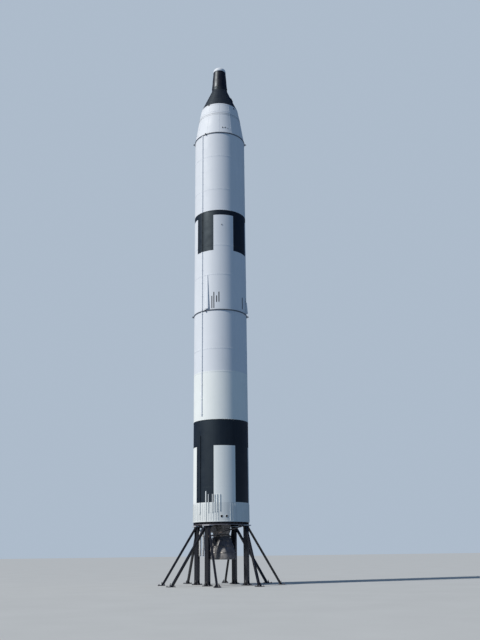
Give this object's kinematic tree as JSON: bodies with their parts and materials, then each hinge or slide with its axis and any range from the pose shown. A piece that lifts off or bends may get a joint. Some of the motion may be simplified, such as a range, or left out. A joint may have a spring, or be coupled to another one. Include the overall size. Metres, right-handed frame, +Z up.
{
  "type": "two-stage crewed space rocket on a display stand",
  "caption": "Tall white and black staged rocket with a cone-shaped crew cabin, gimballed engine chambers and opening cabin hatches, on a black steel display stand.",
  "frame": {"origin": "on the rocket's axis at the level of the pad, in the middle of the stand's feet", "axes": "+Z up along the rocket's axis; the two thrust chambers lie on Y, the hatches face +X, and the four stand columns are at 45 degrees to X and Y"},
  "size_m": [6.4532, 6.4532, 31.69],
  "materials": {
    "white_paint": "semi-gloss white paint",
    "warm_white_paint": "semi-gloss warm white paint",
    "cabin_black": "satin black paint",
    "steel_black": "gloss black paint",
    "engine_metal": "dull weathered steel",
    "bright_metal": "bright machined steel",
    "window_glass": "dark glass",
    "seat_grey": "grey woven cover"
  },
  "bodies": {
    "rocket": {"stage1_oxidizer_tank": "white_paint", "stage2_fuel_tank": "white_paint", "stage2_oxidizer_tank": "white_paint", "interstage": "white_paint", "stage1_lower_conduit": "white_paint", "stage1_conduit": "white_paint", "stage2_conduit": "white_paint", "interstage_cover_1": "white_paint", "interstage_cover_2": "white_paint", "equipment_section": "white_paint", "retro_section": "white_paint", "nose_cap": "white_paint", "stage1_between_tanks": "warm_white_paint", "stage1_fuel_tank": "warm_white_paint", "engine_skirt": "warm_white_paint", "cabin_shell": "cabin_black", "control_section": "cabin_black", "recovery_section": "cabin_black", "mid_collar": "steel_black", "upper_collar": "steel_black", "thrust_frame": "steel_black", "gimbal_mount_1": "steel_black", "gimbal_mount_2": "steel_black", "stand_ring": "steel_black", "stand_column_1": "steel_black", "stand_column_2": "steel_black", "stand_column_3": "steel_black", "stand_column_4": "steel_black", "stand_brace_1": "steel_black", "stand_brace_2": "steel_black", "stand_brace_3": "steel_black", "stand_brace_4": "steel_black", "stand_brace_5": "steel_black", "stand_brace_6": "steel_black", "stand_brace_7": "steel_black", "stand_brace_8": "steel_black", "turbopump_1": "engine_metal", "turbopump_2": "engine_metal", "exhaust_duct_1": "bright_metal", "exhaust_duct_2": "bright_metal", "crew_seats": "seat_grey"},
    "hatch_left_body": {"hatch_left": "cabin_black", "hatch_window_left": "window_glass"},
    "hatch_right_body": {"hatch_right": "cabin_black", "hatch_window_right": "window_glass"},
    "gimbal_1": {"gimbal_cross_1": "bright_metal"},
    "chamber_1": {"thrust_chamber_1": "engine_metal"},
    "barrel_yaw_1": {"actuator_barrel_yaw_1": "bright_metal"},
    "rod_yaw_1": {"actuator_rod_yaw_1": "bright_metal"},
    "barrel_pitch_1": {"actuator_barrel_pitch_1": "bright_metal"},
    "rod_pitch_1": {"actuator_rod_pitch_1": "bright_metal"},
    "gimbal_2": {"gimbal_cross_2": "bright_metal"},
    "chamber_2": {"thrust_chamber_2": "engine_metal"},
    "barrel_yaw_2": {"actuator_barrel_yaw_2": "bright_metal"},
    "rod_yaw_2": {"actuator_rod_yaw_2": "bright_metal"},
    "barrel_pitch_2": {"actuator_barrel_pitch_2": "bright_metal"},
    "rod_pitch_2": {"actuator_rod_pitch_2": "bright_metal"}
  },
  "joints": [
    {"name": "hatch_left_hinge", "type": "hinge", "parent": "rocket", "child": "hatch_left_body", "pos_m": [0.63643, -0.57304, 29.16047], "axis": [0.2993, -0.2695, -0.9153], "range_deg": [0, 75]},
    {"name": "hatch_right_hinge", "type": "hinge", "parent": "rocket", "child": "hatch_right_body", "pos_m": [0.63643, 0.57304, 29.16047], "axis": [-0.2993, -0.2695, 0.9153], "range_deg": [0, 75]},
    {"name": "chamber_1_yaw", "type": "hinge", "parent": "rocket", "child": "gimbal_1", "pos_m": [0, -0.72, 3.55], "axis": [1, 0, 0], "range_deg": [-4, 4]},
    {"name": "chamber_1_pitch", "type": "hinge", "parent": "gimbal_1", "child": "chamber_1", "pos_m": [0, -0.72, 3.55], "axis": [0, 1, 0], "range_deg": [-4, 4]},
    {"name": "barrel_yaw_1_pin", "type": "hinge", "parent": "rocket", "child": "barrel_yaw_1", "pos_m": [0, -1.14, 3.96], "axis": [1, 0, 0], "range_deg": [-1.75, 1.75]},
    {"name": "rod_yaw_1_slide", "type": "slide", "parent": "barrel_yaw_1", "child": "rod_yaw_1", "axis": [0, 0, -1], "range_m": [-0.03, 0.03]},
    {"name": "barrel_pitch_1_pin", "type": "hinge", "parent": "rocket", "child": "barrel_pitch_1", "pos_m": [0.42, -0.72, 3.96], "axis": [0, 1, 0], "range_deg": [-1.75, 1.75]},
    {"name": "rod_pitch_1_slide", "type": "slide", "parent": "barrel_pitch_1", "child": "rod_pitch_1", "axis": [0, 0, -1], "range_m": [-0.03, 0.03]},
    {"name": "chamber_2_yaw", "type": "hinge", "parent": "rocket", "child": "gimbal_2", "pos_m": [0, 0.72, 3.55], "axis": [1, 0, 0], "range_deg": [-4, 4]},
    {"name": "chamber_2_pitch", "type": "hinge", "parent": "gimbal_2", "child": "chamber_2", "pos_m": [0, 0.72, 3.55], "axis": [0, 1, 0], "range_deg": [-4, 4]},
    {"name": "barrel_yaw_2_pin", "type": "hinge", "parent": "rocket", "child": "barrel_yaw_2", "pos_m": [0, 1.14, 3.96], "axis": [1, 0, 0], "range_deg": [-1.75, 1.75]},
    {"name": "rod_yaw_2_slide", "type": "slide", "parent": "barrel_yaw_2", "child": "rod_yaw_2", "axis": [0, 0, -1], "range_m": [-0.03, 0.03]},
    {"name": "barrel_pitch_2_pin", "type": "hinge", "parent": "rocket", "child": "barrel_pitch_2", "pos_m": [0.42, 0.72, 3.96], "axis": [0, 1, 0], "range_deg": [-1.75, 1.75]},
    {"name": "rod_pitch_2_slide", "type": "slide", "parent": "barrel_pitch_2", "child": "rod_pitch_2", "axis": [0, 0, -1], "range_m": [-0.03, 0.03]}
  ],
  "couplings": [
    {"joint": "barrel_yaw_1_pin", "follows": "chamber_1_yaw", "ratio": 0.4225},
    {"joint": "rod_yaw_1_slide", "follows": "chamber_1_yaw", "m_per_rad": 0.42},
    {"joint": "barrel_pitch_1_pin", "follows": "chamber_1_pitch", "ratio": 0.4225},
    {"joint": "rod_pitch_1_slide", "follows": "chamber_1_pitch", "m_per_rad": 0.42},
    {"joint": "barrel_yaw_2_pin", "follows": "chamber_2_yaw", "ratio": 0.4225},
    {"joint": "rod_yaw_2_slide", "follows": "chamber_2_yaw", "m_per_rad": -0.42},
    {"joint": "barrel_pitch_2_pin", "follows": "chamber_2_pitch", "ratio": 0.4225},
    {"joint": "rod_pitch_2_slide", "follows": "chamber_2_pitch", "m_per_rad": 0.42}
  ]
}
